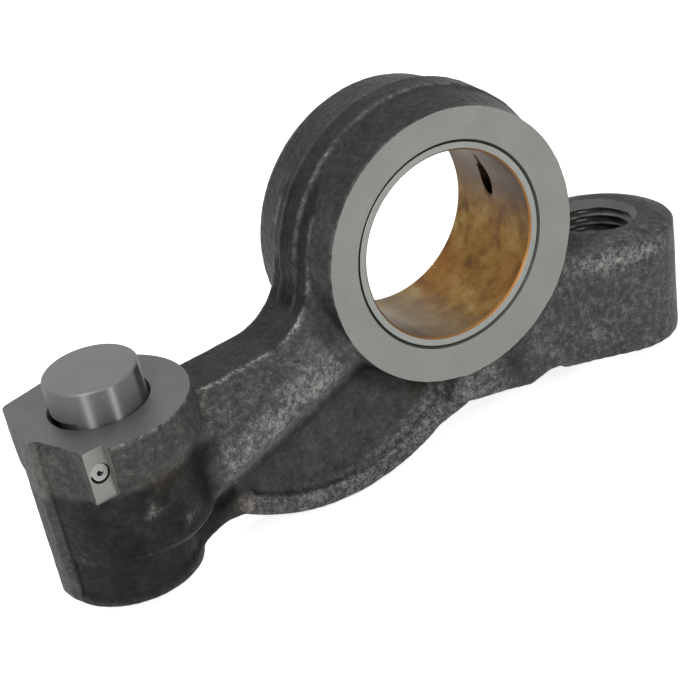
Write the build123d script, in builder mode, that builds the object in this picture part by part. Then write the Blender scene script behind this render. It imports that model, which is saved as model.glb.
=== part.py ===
"""Exhaust rocker arm with a hydraulic valve plunger, for a truck diesel.

Frame, in millimetres: the origin is the middle of the shaft bore, X runs along the
arm towards the adjuster thread, Y along the shaft bore and Z up along the plunger.
"""

from build123d import *
from math import atan2, cos, radians, sin, sqrt, tan
import os

os.makedirs("parts", exist_ok=True)

# ---------------------------------------------------------------- driving sizes
# Hub and its lined shaft bore
bore_radius = 16.0
bush_wall = 1.5
bush_recess = 0.15
bush_chamfer = 0.35
hub_width = 22.0
hub_face_radius = 23.5
hub_draft = 7.0
hub_centre_x = 0.4
hub_centre_z = -0.25
hub_bore_chamfer = 0.4
flash_width = 4.6
flash_height = 0.35

# Valve arm, from the hub to the plunger boss
plunger_axis_x = -62.9
arm_top_z = -5.3
arm_strip_width = 10.0
arm_rib_width = 19.4
arm_rib_bevel = 46.0
arm_blend_radius = 11.0
crease_slope = 0.305
crease_hub_z = -10.3
web_thickness = 9.6
rim_width = 13.4
rim_draft = 20.0
rim_band = 4.0
web_end_x = -57.0
web_foot_x = -54.6
web_foot_z = -31.3
web_foot_rise = 0.8
belly_x = -24.4
belly_z = -37.1
belly_radius = 38.6
belly_left_angle = 35.0
belly_right_angle = 25.8
pocket_left_angle = 30.8
pocket_right_angle = 27.5
pocket_corner = 1.6
pocket_corner_limit = 0.6
tail_points = [(-3.6, -32.5), (3.0, -31.0)]

# Plunger boss
boss_top_z = -1.4
collar_radius = 15.1
collar_shift_x = 0.5
collar_shift_y = 0.8
collar_height = 9.4
collar_sweep = 105.0
relief_height = 4.8
relief_radius = 17.2
collar_corner = 1.2
collar_corners = [(10.4, 11.8), (12.0, 6.8), (12.7, 1.0), (8.8, -12.6)]
boss_radius = 13.9
boss_body_height = 23.8
boss_chamfer = 1.8
nose_radius = 11.9
nose_shift = 2.3
nose_lip_height = 2.6
nose_neck = 0.5
nose_chamfer = 0.8
boss_height = 31.2
trim_width = 4.4
trim_y = 0.5
trim_lift = 1.2
trim_reach = 14.7
trim_lean = 0.6

# Plunger, its bore and the coiled pin that keeps it in
plunger_radius = 8.0
plunger_clearance = 0.03
plunger_height = 6.35
plunger_length = 21.8
plunger_chamfer = 0.25
plunger_crown = 0.3
plunger_crown_flat = 2.5
plunger_stroke = 2.0
plunger_bore_chamfer = 0.6
chamber_depth = 1.2
chamber_radius = 6.0
pin_radius = 1.75
pin_strip = 0.38
pin_half_turns = 5
coil_gap = 0.03
pin_length = 21.0
pin_bite = 1.35
pin_clearance = 0.1
pin_depth = 4.5
pin_recess = 0.25
flat_lead = 0.7
spot_face_y = -12.6
spot_face_width = 3.6

# Adjuster boss, whose thread leans towards the push rod
adjuster_x = 33.8
adjuster_z = -14.4
adjuster_lean = 11.0
adjuster_height = 21.4
adjuster_radius = 12.8
adjuster_reach = 1.4
adjuster_edge = 0.9
adjuster_crown = 3.4
adjuster_crown_drop = 0.9
thread_radius = 7.0
thread_pitch = 1.5
thread_depth_share = 0.541
thread_countersink = 0.7
block_width = 21.0
block_root_z = -8.0
block_top_reach = 14.0
block_bottom_reach = 10.8
block_step = 1.1
block_lift = 0.2
block_draft = 3.0
block_edge = 1.2
heel_points = [(13.4, -32.1), (9.1, -32.8), (3.9, -31.4), (-1.6, -30.3), (-6.8, -28.6)]
shoulder_reach = 13.0
shoulder_corner = 1.0

# Oil drillings
oil_radius = 1.5
adjuster_port_y = 0.9
adjuster_port_z = -1.2
adjuster_feed_reach = 3.0
adjuster_feed_depth = 6.5
plunger_port_z = -4.6
oil_run_out = 4.0

# How far solids run into the ones they join and cuts run past the faces they open
overrun = 1.0

# ---------------------------------------------------------------- derived sizes
half_hub = hub_width / 2
half_flash = flash_width / 2
hub_bore_radius = bore_radius + bush_wall
hub_mid_radius = hub_face_radius + half_hub * tan(radians(hub_draft))
collar_bottom_z = boss_top_z - collar_height
boss_body_bottom_z = boss_top_z - boss_body_height
boss_bottom_z = boss_top_z - boss_height
plunger_bore_radius = plunger_radius + plunger_clearance
plunger_top_z = boss_top_z + plunger_height
plunger_bottom_z = plunger_top_z - plunger_length
pin_x = plunger_axis_x - plunger_radius + pin_bite - pin_radius
pin_z = boss_top_z - pin_depth
flat_x = pin_x + pin_radius + pin_clearance
flat_top_z = boss_top_z + flat_lead
flat_bottom_z = pin_z - pin_radius - plunger_stroke
thread_core_radius = thread_radius - thread_depth_share * thread_pitch
rib_side = (arm_rib_width - arm_strip_width) / 2
plunger_axis = Axis((plunger_axis_x, 0, 0), (0, 0, 1))


def crease_z(x):
    """Height of the groove where the rib drops to the web, at x."""
    return crease_hub_z + crease_slope * x


# Adjuster boss: its top and bottom planes, square to the leaning thread
lean = radians(adjuster_lean)
adjuster_top = Plane(
    origin=(adjuster_x, 0, adjuster_z),
    x_dir=(cos(lean), 0, -sin(lean)),
    z_dir=(sin(lean), 0, cos(lean)),
)
adjuster_bottom = adjuster_top.offset(-adjuster_height)


def on_adjuster(along, up):
    """Point of the XZ plane, given along the adjuster's top face and up its thread."""
    x = adjuster_x + along * cos(lean) + up * sin(lean)
    z = adjuster_z - along * sin(lean) + up * cos(lean)
    return (x, z)


# The strip along the arm runs into the hub through an arc that touches both
blend_centre_z = arm_top_z + arm_blend_radius
blend_rise = blend_centre_z - hub_centre_z
blend_span = sqrt((arm_blend_radius + hub_mid_radius) ** 2 - blend_rise**2)
blend_centre_x = hub_centre_x - blend_span
blend_share = hub_mid_radius / (hub_mid_radius + arm_blend_radius)
blend_touch_x = hub_centre_x - blend_share * blend_span
blend_touch_z = hub_centre_z + blend_share * blend_rise
blend_half_turn = atan2(blend_span, blend_rise) / 2
blend_mid_x = blend_centre_x + arm_blend_radius * sin(blend_half_turn)
blend_mid_z = blend_centre_z - arm_blend_radius * cos(blend_half_turn)

# ---------------------------------------------------------------- forged regions
# Hub: a drum with draft to both faces and a trimmed flash land round its middle
with BuildPart() as hub:
    with BuildSketch(Plane.XY):
        with BuildLine():
            Polyline(
                (0, -half_hub),
                (hub_face_radius, -half_hub),
                (hub_mid_radius, -half_flash),
                (hub_mid_radius + flash_height, -half_flash),
                (hub_mid_radius + flash_height, half_flash),
                (hub_mid_radius, half_flash),
                (hub_face_radius, half_hub),
                (0, half_hub),
                close=True,
            )
        make_face()
    revolve(axis=Axis.Y)

# Rib: the thick upper part of the valve arm, with bevels down both sides
with BuildPart() as rib:
    with BuildSketch(Plane.XZ) as rib_outline:
        with BuildLine():
            Line((plunger_axis_x, arm_top_z), (blend_centre_x, arm_top_z))
            ThreePointArc(
                (blend_centre_x, arm_top_z),
                (blend_mid_x, blend_mid_z),
                (blend_touch_x, blend_touch_z),
            )
            Polyline(
                (blend_touch_x, blend_touch_z),
                (hub_centre_x, 0),
                (hub_centre_x, crease_z(hub_centre_x)),
                (plunger_axis_x, crease_z(plunger_axis_x)),
                (plunger_axis_x, arm_top_z),
            )
        make_face()
    extrude(amount=arm_strip_width / 2, both=True)
    for side in (-1, 1):
        with BuildSketch(Plane.XZ.offset(side * arm_strip_width / 2)):
            add(rib_outline.sketch_local)
        extrude(amount=side * rib_side, taper=arm_rib_bevel)

# Web: the thin lower part of the arm, with a raised rim along its belly and a foot that
# sweeps into the plunger boss
belly_centre_z = belly_z + belly_radius


def belly(angle):
    """Point of the belly's arc, at an angle from its lowest point towards the hub."""
    turn = radians(angle)
    return (belly_x + belly_radius * sin(turn), belly_centre_z - belly_radius * cos(turn))


belly_start = belly(-belly_left_angle)
belly_end = belly(belly_right_angle)
foot_middle_x = (web_foot_x + belly_start[0]) / 2
foot_middle_z = (web_foot_z + belly_start[1]) / 2 + web_foot_rise
foot_middle = (foot_middle_x, foot_middle_z)
pocket_left_x = belly(-pocket_left_angle)[0]
pocket_right_x = belly(pocket_right_angle)[0]
# The pocket's corners take up no more than a share of its short end wall
pocket_radius = belly_radius - rim_band
pocket_drop = sqrt(pocket_radius**2 - (pocket_left_x - belly_x) ** 2)
end_wall = crease_z(pocket_left_x) - (belly_centre_z - pocket_drop)
corner_radius = min(pocket_corner, pocket_corner_limit * end_wall)
with BuildPart() as web:
    with BuildSketch(Plane.XZ) as web_outline:
        with BuildLine():
            ThreePointArc(belly_start, (belly_x, belly_z), belly_end)
            Polyline(
                belly_end,
                *tail_points,
                (hub_centre_x, 0),
                (web_end_x, crease_z(web_end_x)),
                (web_end_x, web_foot_z),
                (web_foot_x, web_foot_z),
            )
            ThreePointArc((web_foot_x, web_foot_z), foot_middle, belly_start)
        make_face()
    extrude(amount=web_thickness / 2, both=True)
    for side in (-1, 1):
        with BuildSketch(Plane.XZ.offset(side * web_thickness / 2)):
            add(web_outline.sketch_local)
        extrude(amount=side * (rim_width - web_thickness) / 2, taper=rim_draft)
    for side in (-1, 1):
        with BuildSketch(Plane.XZ.offset(side * web_thickness / 2)) as pocket:
            with Locations((belly_x, belly_centre_z)):
                Circle(pocket_radius)
            with BuildLine():
                Polyline(
                    (pocket_left_x, crease_z(pocket_left_x)),
                    (pocket_right_x, crease_z(pocket_right_x)),
                    (pocket_right_x, belly_z),
                    (pocket_left_x, belly_z),
                    close=True,
                )
            make_face(mode=Mode.INTERSECT)
            fillet(pocket.vertices(), radius=corner_radius)
        extrude(amount=side * rim_width, mode=Mode.SUBTRACT)

# Block: the push-rod arm between the hub and the adjuster boss
with BuildPart() as block:
    with BuildSketch(Plane.XZ) as block_outline:
        with BuildLine():
            Polyline(
                (hub_centre_x, block_root_z),
                on_adjuster(-block_top_reach, -block_step),
                on_adjuster(overrun, -block_step),
                on_adjuster(overrun, block_lift - adjuster_height),
                on_adjuster(-block_bottom_reach, block_lift - adjuster_height),
                *heel_points,
                close=True,
            )
        make_face()
    for side in (-1, 1):
        extrude(block_outline.sketch, amount=side * block_width / 2, taper=block_draft)
    outer_faces = block.faces().filter_by(Plane.XZ)
    fillet(outer_faces.edges(), radius=block_edge)

# Shoulders: widen the block so that its sides run tangent into the adjuster boss
shoulder_y = block_width / 2 - shoulder_corner
with BuildPart() as shoulders:
    with BuildSketch(adjuster_bottom.offset(block_lift)):
        with BuildLine():
            CenterArc((adjuster_reach, 0), adjuster_radius, 0, 360)
            CenterArc((-shoulder_reach, shoulder_y), shoulder_corner, 0, 360)
            CenterArc((-shoulder_reach, -shoulder_y), shoulder_corner, 0, 360)
        make_hull()
    extrude(amount=adjuster_height - block_lift - block_step)

# Adjuster boss: stands square to the thread, its top falling away to the rim
rim_reach = adjuster_reach + adjuster_radius
with BuildPart() as adjuster_boss:
    with BuildSketch(Plane.XZ):
        with BuildLine():
            Polyline(
                on_adjuster(adjuster_reach, 0),
                on_adjuster(rim_reach - adjuster_crown, 0),
                on_adjuster(rim_reach - adjuster_edge, -adjuster_crown_drop),
                on_adjuster(rim_reach, -adjuster_crown_drop - adjuster_edge),
                on_adjuster(rim_reach, adjuster_edge - adjuster_height),
                on_adjuster(rim_reach - adjuster_edge, -adjuster_height),
                on_adjuster(adjuster_reach, -adjuster_height),
                close=True,
            )
        make_face()
    boss_x, boss_z = on_adjuster(adjuster_reach, 0)
    revolve(axis=Axis((boss_x, 0, boss_z), (sin(lean), 0, cos(lean))))

# Plunger boss: the collar is round towards the hub and faceted at the free end, with a
# cone relieving it from below
relief_top_z = collar_bottom_z + relief_height
clear_of_boss = plunger_axis_x + 2 * boss_radius
with BuildPart() as plunger_boss:
    with BuildSketch(Plane.XY.offset(collar_bottom_z)):
        with BuildLine():
            middle = (plunger_axis_x - collar_shift_x, -collar_shift_y)
            CenterArc(middle, collar_radius, -collar_sweep, 2 * collar_sweep)
            for ahead, across in collar_corners:
                corner = (plunger_axis_x - ahead, across)
                CenterArc(corner, collar_corner, 0, 360)
        make_hull()
    extrude(amount=collar_height)
    with BuildSketch(Plane.XZ):
        with BuildLine():
            Polyline(
                (plunger_axis_x + relief_radius, relief_top_z),
                (plunger_axis_x + boss_radius, collar_bottom_z),
                (clear_of_boss, collar_bottom_z),
                (clear_of_boss, relief_top_z),
                close=True,
            )
        make_face()
    revolve(axis=plunger_axis, mode=Mode.SUBTRACT)
    # Forged body, then the nose set off towards the free end, with a neck above its lip
    with BuildSketch(Plane.XY.offset(boss_body_bottom_z)):
        with Locations((plunger_axis_x, 0)):
            Circle(boss_radius)
    extrude(amount=boss_body_height - overrun)
    chamfer(plunger_boss.faces().sort_by(Axis.Z)[0].edges(), length=boss_chamfer)
    with BuildSketch(Plane.XY.offset(boss_bottom_z)):
        with Locations((plunger_axis_x - nose_shift, 0)):
            Circle(nose_radius - nose_neck)
    extrude(amount=boss_height - collar_height - overrun)
    with BuildSketch(Plane.XY.offset(boss_bottom_z)):
        with Locations((plunger_axis_x - nose_shift, 0)):
            Circle(nose_radius)
    extrude(amount=nose_lip_height)
    chamfer(plunger_boss.faces().sort_by(Axis.Z)[0].edges(), length=nose_chamfer)
    # Band left by trimming the flash off the free end
    with BuildSketch(Plane.XZ.offset(-trim_y)):
        with BuildLine():
            Polyline(
                (plunger_axis_x, boss_bottom_z + trim_lift),
                (plunger_axis_x - trim_reach, boss_bottom_z + trim_lift),
                (plunger_axis_x - trim_reach, collar_bottom_z),
                (plunger_axis_x - trim_reach + trim_lean, boss_top_z),
                (plunger_axis_x, boss_top_z),
                close=True,
            )
        make_face()
    extrude(amount=trim_width / 2, both=True)

# ---------------------------------------------------------------- rocker body
# Oil drilling from the shaft bore up into the adjuster thread
adjuster_port = Vector(hub_bore_radius, adjuster_port_y, adjuster_port_z)
feed_end_x, feed_end_z = on_adjuster(-adjuster_feed_reach, -adjuster_feed_depth)
adjuster_run = Vector(feed_end_x, adjuster_port_y, feed_end_z) - adjuster_port
adjuster_mouth = adjuster_port - adjuster_run.normalized() * oil_run_out
with BuildPart(Plane(origin=adjuster_mouth, z_dir=adjuster_run)) as adjuster_feed:
    Cylinder(
        oil_radius,
        adjuster_run.length + oil_run_out,
        align=(Align.CENTER, Align.CENTER, Align.MIN),
    )

# Oil drilling from the shaft bore down into the chamber below the plunger
chamber_z = plunger_bottom_z - chamber_depth / 2
plunger_port = Vector(-hub_bore_radius, 0, plunger_port_z)
plunger_run = Vector(plunger_axis_x + chamber_radius - overrun, 0, chamber_z) - plunger_port
plunger_mouth = plunger_port - plunger_run.normalized() * oil_run_out
with BuildPart(Plane(origin=plunger_mouth, z_dir=plunger_run)) as plunger_feed:
    Cylinder(
        oil_radius,
        plunger_run.length + oil_run_out,
        align=(Align.CENTER, Align.CENTER, Align.MIN),
    )

with BuildPart() as rocker_body:
    add(hub.part.moved(Location((hub_centre_x, 0, hub_centre_z))))
    add(rib.part)
    add(web.part)
    add(block.part)
    add(shoulders.part)
    add(adjuster_boss.part)
    add(plunger_boss.part)
    # Shaft bore, broken at both mouths
    with BuildSketch(Plane.XY):
        with BuildLine():
            Polyline(
                (0, -half_hub - overrun),
                (hub_bore_radius + hub_bore_chamfer + overrun, -half_hub - overrun),
                (hub_bore_radius, -half_hub + hub_bore_chamfer),
                (hub_bore_radius, half_hub - hub_bore_chamfer),
                (hub_bore_radius + hub_bore_chamfer + overrun, half_hub + overrun),
                (0, half_hub + overrun),
                close=True,
            )
        make_face()
    revolve(axis=Axis.Y, mode=Mode.SUBTRACT)
    # Plunger bore with its lead-in and the oil chamber below it
    with BuildSketch(Plane.XY.offset(boss_top_z)):
        with Locations((plunger_axis_x, 0)):
            Circle(plunger_bore_radius)
    extrude(amount=plunger_bottom_z - boss_top_z, mode=Mode.SUBTRACT)
    with BuildSketch(Plane.XY.offset(boss_top_z)):
        with Locations((plunger_axis_x, 0)):
            Circle(plunger_bore_radius + plunger_bore_chamfer)
    extrude(amount=-plunger_bore_chamfer, taper=45, mode=Mode.SUBTRACT)
    with BuildSketch(Plane.XY.offset(plunger_bottom_z)):
        with Locations((plunger_axis_x, 0)):
            Circle(chamber_radius)
    extrude(amount=-chamber_depth, mode=Mode.SUBTRACT)
    # Spot face and cross hole of the retaining pin
    with BuildSketch(Plane.XZ.offset(-spot_face_y)):
        with Locations((pin_x, boss_top_z)):
            Rectangle(spot_face_width, 2 * collar_height)
    extrude(amount=collar_radius, mode=Mode.SUBTRACT)
    with BuildSketch(Plane.XZ):
        with Locations((pin_x, pin_z)):
            Circle(pin_radius)
    extrude(amount=2 * collar_radius, both=True, mode=Mode.SUBTRACT)
    # Adjuster thread hole at its core diameter, countersunk at both ends
    with BuildSketch(adjuster_top):
        Circle(thread_core_radius)
    extrude(amount=-adjuster_height - overrun, mode=Mode.SUBTRACT)
    with BuildSketch(adjuster_top):
        Circle(thread_radius + thread_countersink)
    extrude(amount=-thread_radius, taper=45, mode=Mode.SUBTRACT)
    with BuildSketch(adjuster_bottom):
        Circle(thread_radius + thread_countersink)
    extrude(amount=thread_radius, taper=45, mode=Mode.SUBTRACT)
    add(adjuster_feed.part, mode=Mode.SUBTRACT)
    add(plunger_feed.part, mode=Mode.SUBTRACT)

# ---------------------------------------------------------------- bush
bush_half = half_hub - bush_recess
with BuildPart() as shaft_bush:
    with BuildSketch(Plane.XY):
        with BuildLine():
            Polyline(
                (bore_radius, -bush_half + bush_chamfer),
                (bore_radius + bush_chamfer, -bush_half),
                (hub_bore_radius - bush_chamfer, -bush_half),
                (hub_bore_radius, -bush_half + bush_chamfer),
                (hub_bore_radius, bush_half - bush_chamfer),
                (hub_bore_radius - bush_chamfer, bush_half),
                (bore_radius + bush_chamfer, bush_half),
                (bore_radius, bush_half - bush_chamfer),
                close=True,
            )
        make_face()
    revolve(axis=Axis.Y)
    add(adjuster_feed.part, mode=Mode.SUBTRACT)
    add(plunger_feed.part, mode=Mode.SUBTRACT)

# ---------------------------------------------------------------- plunger
crown_edge_z = plunger_top_z - plunger_crown
with BuildPart() as plunger:
    with BuildSketch(Plane.XZ):
        with BuildLine():
            Polyline(
                (plunger_axis_x, plunger_bottom_z),
                (plunger_axis_x + plunger_radius - plunger_chamfer, plunger_bottom_z),
                (plunger_axis_x + plunger_radius, plunger_bottom_z + plunger_chamfer),
                (plunger_axis_x + plunger_radius, crown_edge_z - plunger_chamfer),
                (plunger_axis_x + plunger_radius - plunger_chamfer, crown_edge_z),
                (plunger_axis_x + plunger_crown_flat, plunger_top_z),
                (plunger_axis_x, plunger_top_z),
                close=True,
            )
        make_face()
    revolve(axis=plunger_axis)
    # Flat along one side, in which the pin lies for the length of the stroke
    with BuildSketch(Plane.XY.offset(flat_bottom_z)):
        with Locations((flat_x, 0)):
            Rectangle(plunger_radius, 2 * plunger_radius, align=(Align.MAX, Align.CENTER))
    extrude(amount=flat_top_z - flat_bottom_z, mode=Mode.SUBTRACT)

# ---------------------------------------------------------------- coiled pin
# Each half turn is an arc; the arcs' centres lie a half pitch apart, so they run smoothly
coil_pitch = pin_strip + coil_gap
coil_last = pin_radius - coil_gap - pin_strip / 2 - coil_pitch / 4
coil_first = coil_last - (pin_half_turns - 1) * coil_pitch / 2
pin_front_y = spot_face_y + pin_recess
with BuildPart() as retaining_pin:
    with BuildSketch(Plane.XZ.offset(-pin_front_y)):
        with BuildLine():
            for half_turn in range(pin_half_turns):
                side = 1 if half_turn % 2 else -1
                middle = (pin_x + side * coil_pitch / 4, pin_z)
                reach = coil_first + half_turn * coil_pitch / 2
                begin = 180 * (half_turn % 2)
                CenterArc(middle, reach - pin_strip / 2, begin, 180)
                CenterArc(middle, reach + pin_strip / 2, begin, 180)
            coil_start_x = pin_x - coil_pitch / 4 + coil_first
            Line(
                (coil_start_x - pin_strip / 2, pin_z),
                (coil_start_x + pin_strip / 2, pin_z),
            )
            coil_end_x = middle[0] + (1 if pin_half_turns % 2 == 0 else -1) * reach
            Line(
                (coil_end_x - pin_strip / 2, pin_z),
                (coil_end_x + pin_strip / 2, pin_z),
            )
        make_face()
    extrude(amount=-pin_length)

# ---------------------------------------------------------------- export
rocker_body.part.label = "rocker_body"
shaft_bush.part.label = "shaft_bush"
plunger.part.label = "plunger"
retaining_pin.part.label = "retaining_pin"
export_step(rocker_body.part, "parts/rocker_body.step")
export_step(shaft_bush.part, "parts/shaft_bush.step")
export_step(plunger.part, "parts/plunger.step")
export_step(retaining_pin.part, "parts/retaining_pin.step")
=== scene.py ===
"""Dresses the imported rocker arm: the forging as a rough blank that is then machined and
threaded, the lined bush, the satin plunger and the coiled pin."""

from math import cos, pi, radians, sin

import bmesh
import bpy
import numpy as np
from mathutils import Matrix, Vector, noise


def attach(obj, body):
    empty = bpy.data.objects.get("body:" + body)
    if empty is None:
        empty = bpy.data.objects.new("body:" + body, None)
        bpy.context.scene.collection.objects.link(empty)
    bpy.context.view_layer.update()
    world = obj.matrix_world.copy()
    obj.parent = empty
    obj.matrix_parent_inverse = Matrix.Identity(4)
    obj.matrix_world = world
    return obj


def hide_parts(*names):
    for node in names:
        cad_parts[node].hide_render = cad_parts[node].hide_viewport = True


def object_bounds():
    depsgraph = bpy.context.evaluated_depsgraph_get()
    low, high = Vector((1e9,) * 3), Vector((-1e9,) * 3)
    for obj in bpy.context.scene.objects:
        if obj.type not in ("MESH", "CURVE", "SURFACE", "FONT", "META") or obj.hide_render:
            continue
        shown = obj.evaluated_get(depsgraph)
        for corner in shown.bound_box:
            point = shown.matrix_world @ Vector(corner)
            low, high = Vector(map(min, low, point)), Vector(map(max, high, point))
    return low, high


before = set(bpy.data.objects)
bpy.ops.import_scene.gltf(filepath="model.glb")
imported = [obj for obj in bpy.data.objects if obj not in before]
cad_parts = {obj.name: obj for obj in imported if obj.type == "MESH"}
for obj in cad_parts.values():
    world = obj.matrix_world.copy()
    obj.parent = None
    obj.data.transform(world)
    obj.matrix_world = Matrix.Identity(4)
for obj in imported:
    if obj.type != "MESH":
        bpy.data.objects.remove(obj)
cad_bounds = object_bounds()

MM = 0.001

# ------------------------------------------------------------- machined sizes, in metres
HALF_HUB = 11.0 * MM
HUB_CUT_RADIUS = 27.0 * MM
BUSH_SEAT_RADIUS = 17.5 * MM
BUSH_SEAT_CHAMFER = 0.4 * MM

PLUNGER_X = -62.9 * MM
BOSS_TOP = -1.4 * MM
BOSS_CUT_LEFT = -90.0 * MM
BOSS_CUT_RIGHT = -42.0 * MM
PLUNGER_BORE_RADIUS = 8.03 * MM
PLUNGER_BORE_CHAMFER = 0.6 * MM
PLUNGER_BOTTOM = -16.85 * MM
CHAMBER_RADIUS = 6.0 * MM
CHAMBER_DEPTH = 1.2 * MM
PIN_X = -71.3 * MM
PIN_Z = -5.9 * MM
PIN_RADIUS = 1.75 * MM
SPOT_FACE_Y = -12.6 * MM
SPOT_FACE_LEFT = PIN_X - 3.0 * MM
SPOT_FACE_RIGHT = PIN_X + 1.8 * MM
SPOT_FACE_BOTTOM = -10.8 * MM

THREAD_TOP = Vector((33.8, 0.0, -14.4)) * MM
THREAD_LEAN = radians(11.0)
THREAD_AXIS = Vector((sin(THREAD_LEAN), 0.0, cos(THREAD_LEAN)))
THREAD_LENGTH = 21.4 * MM
THREAD_RADIUS = 7.0 * MM
THREAD_CORE = 6.19 * MM
THREAD_PITCH = 1.5 * MM
THREAD_MOUTH = 7.7 * MM
THREAD_FLAT = 0.125  # of a half pitch, at the core
THREAD_FLANK = 0.625  # of a half pitch
THREAD_STEPS = 96
THREAD_ROWS_A_TURN = 10

PORT_START = Vector((17.5, 0.9, -1.2)) * MM
PORT_END = Vector((29.6, 0.9, -20.2)) * MM
FEED_START = Vector((-16.5, 0.0, -4.6)) * MM
FEED_END = Vector((-57.9, 0.0, -17.45)) * MM
DRILL_RADIUS = 1.5 * MM

OVERCUT = 1.0 * MM  # by which a cutter reaches past a face
FAR = 40.0 * MM  # past every face of the part, in y
ON_PLANE = 0.01 * MM
ON_SURFACE = 0.02 * MM
SAME_PLACE = 0.001 * MM
FACING = 0.99  # cosine for a face that looks along a direction
ACROSS = 0.9  # cosine under which a face lies across y
PAST_EDGE = 0.15 * MM
HUB_FACE_RADIUS = 26.0 * MM
ADJUSTER_FROM = 20.0 * MM

# ------------------------------------------------------- the blank and its skin, in metres
ALLOWANCE = 1.2 * MM  # stock left on the faces to be machined
# By how much the plugs are larger than the holes that they fill
SEAT_FILL = 0.6 * MM
BORE_FILL = 0.8 * MM
FLOOR_FILL = 0.3 * MM
PIN_FILL = 0.15 * MM
THREAD_FILL = 0.3 * MM
DRILL_FILL = 0.2 * MM
# Ends of the pin hole's plug and corners of the spot face's
PIN_PLUG_FRONT, PIN_PLUG_BACK = -12.4 * MM, 12.0 * MM
SLOT_PLUG_LOW = (PIN_X - 2.2 * MM, SPOT_FACE_Y - 0.4 * MM, SPOT_FACE_BOTTOM - 0.3 * MM)
SLOT_PLUG_HIGH = (PIN_X + 2.1 * MM, -9.0 * MM, BOSS_TOP + ALLOWANCE)
VOXEL = 0.45 * MM
CRISP_STEPS = 2
SOFT_STEPS = 9
SOFT_LEVELS = 8
SKIN_AMPLITUDE = 0.045 * MM
COARSE_SHARE, FINE_SHARE, SKIN_SINK = 0.9, 0.8, 0.4
FLASH_HEIGHT = 0.16 * MM
FLASH_RAGGED = 0.09 * MM

# ---------------------------------------------------------------- the bush, in metres
BORE_RADIUS = 16.0 * MM
BORE_CHAMFER = 0.35 * MM
LINING_RADIUS = 16.3 * MM
LINING_LAND = 0.36 * MM  # from the bush's end to the bore's plain wall
LINING_LIP = 0.33 * MM
DARK_GROOVE_DEPTH = 0.12 * MM
# Width of the painted shade round the bush's outer edge
GAP_SHADE_WIDTH = 0.1 * MM
BUSH_END = 10.85 * MM
BUSH_EDGE = 0.15 * MM
BUSH_TURNS = 360
BUSH_ROWS = 72
GROOVE_FROM = radians(-9.0)
GROOVE_TO = radians(24.0)
GROOVE_DEPTH = 0.55 * MM
GROOVE_HALF_WIDTH, GROOVE_NARROWING = 1.35 * MM, 1.1 * MM
GROOVE_MIDDLE, GROOVE_DRIFT = 0.9 * MM, 0.4 * MM
GROOVE_RUN_IN = 5.0  # the groove is at full depth after a fifth of its length
GROOVE_FADE = 0.6  # share of its depth that it has lost at its end
SEAM_ANGLE = radians(-63.0)
SEAM_HALF = radians(0.6)
SEAM_DEPTH = 0.08 * MM

# ------------------------------------------- landmarks of the forging, in millimetres
CREASE_HUB_Z = -10.3
CREASE_SLOPE = 0.305
BELLY_X, BELLY_Z, BELLY_RADIUS = -24.4, 1.5, 38.6
RIM_BAND = 4.0
RIM_WIDENING = 2.8
RIM_WIDENS = (-30.0, -14.0)
HUB_X, HUB_Z = 0.4, -0.25
SHOULDER_SLOPE = 0.4
FLASH_HALF = 2.3
FLASH_WIDTH = 0.42
FLASH_WANDER = 0.25
BOSS_ROOT_RADIUS = 14.4
NECK_TOP = -25.2
LIP_TOP = -30.0

# Noises over the forging: cell in metres, offset, and scale along z
NOISES = {
    "coarse": (3.1 * MM, 0.0, 1.0),
    "fine": (1.1 * MM, 0.0, 1.0),
    "flash_wander": (6.0 * MM, 3.1, 1.0),
    "flash_ragged": (2.0 * MM, 7.3, 1.0),
    "cloud": (5.0 * MM, 1.7, 1.0),
    "small": (2.2 * MM, 4.9, 1.0),
    "streaks": (1.3 * MM, 11.2, 0.35),
    "flecks": (1.4 * MM, 5.5, 1.0),
}
# How the noises move the zones' edges, and the paint of a plain surface
RIB_FADE_FROM, RIB_FADE_TO, RIB_LEAST, RIB_WAVE = 12.5, 8.5, 0.3, 1.2
COLLAR_WAVE = 0.8
PROUD_WAVE = 0.05
PLAIN_GRIT, GRIT_CLOUD = 0.30, 0.10
PLAIN_TONE, TONE_CLOUD, TONE_SMALL = 1.0, 0.16, 0.10
# Edge wear on proud edges, and a painted highlight on the rims of the boss and the hub
EDGE_WEAR, RIM_GLINT = 0.5, 0.9
MOST_PAINT = 3.0

# The forging's surfaces, in the order of its materials
FORGED, GROUND, BORED, BOSS_FACE, THREADED, SPOT_FACED = range(6)

CHATTER_WAVES = 230.0  # per radian round the shaft
CHATTER_SHARE = 0.12  # of the relief's height

# ----------------------------------------------------------- camera, fitted to the photo
FOCAL_PX = 4000.0
FRAME_PX = 680.0
SENSOR_MM = 36.0
AZIMUTH = radians(25.964)
ELEVATION = radians(28.109)
ROLL = radians(-15.283)
EYE_OFFSET = Vector((12.756, 18.898, 663.3)) * MM
OPTICAL_AXIS_PX = (336.44, 340.43)
CLIP_START = 0.01

# ---------------------------------------------------------------- studio
WORLD_LEVEL = 0.22
FLOOR_GAP = 0.5 * MM
FLOOR_GLOW = 0.8
FLOOR_REACH = 3.0
# Softboxes: name, place, target and size in metres, power in watts
SOFTBOXES = (
    ("key", (-0.62, -0.42, 0.55), (-0.02, 0, -0.01), (0.15, 0.5), 4.4),
    ("fill", (0.12, -0.85, 0.42), (0, 0, -0.01), (0.15, 0.5), 3.6),
    ("top", (0.1, 0.25, 0.9), (0, 0, 0), (0.6, 0.6), 2.2),
)


# ---------------------------------------------------------------- mesh helpers
def new_object(name, verts, faces):
    """A mesh object from lists of corners and faces, in the row frame."""
    mesh = bpy.data.meshes.new(name)
    mesh.from_pydata([tuple(v) for v in verts], [], faces)
    mesh.update()
    obj = bpy.data.objects.new(name, mesh)
    bpy.context.scene.collection.objects.link(obj)
    return obj


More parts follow.
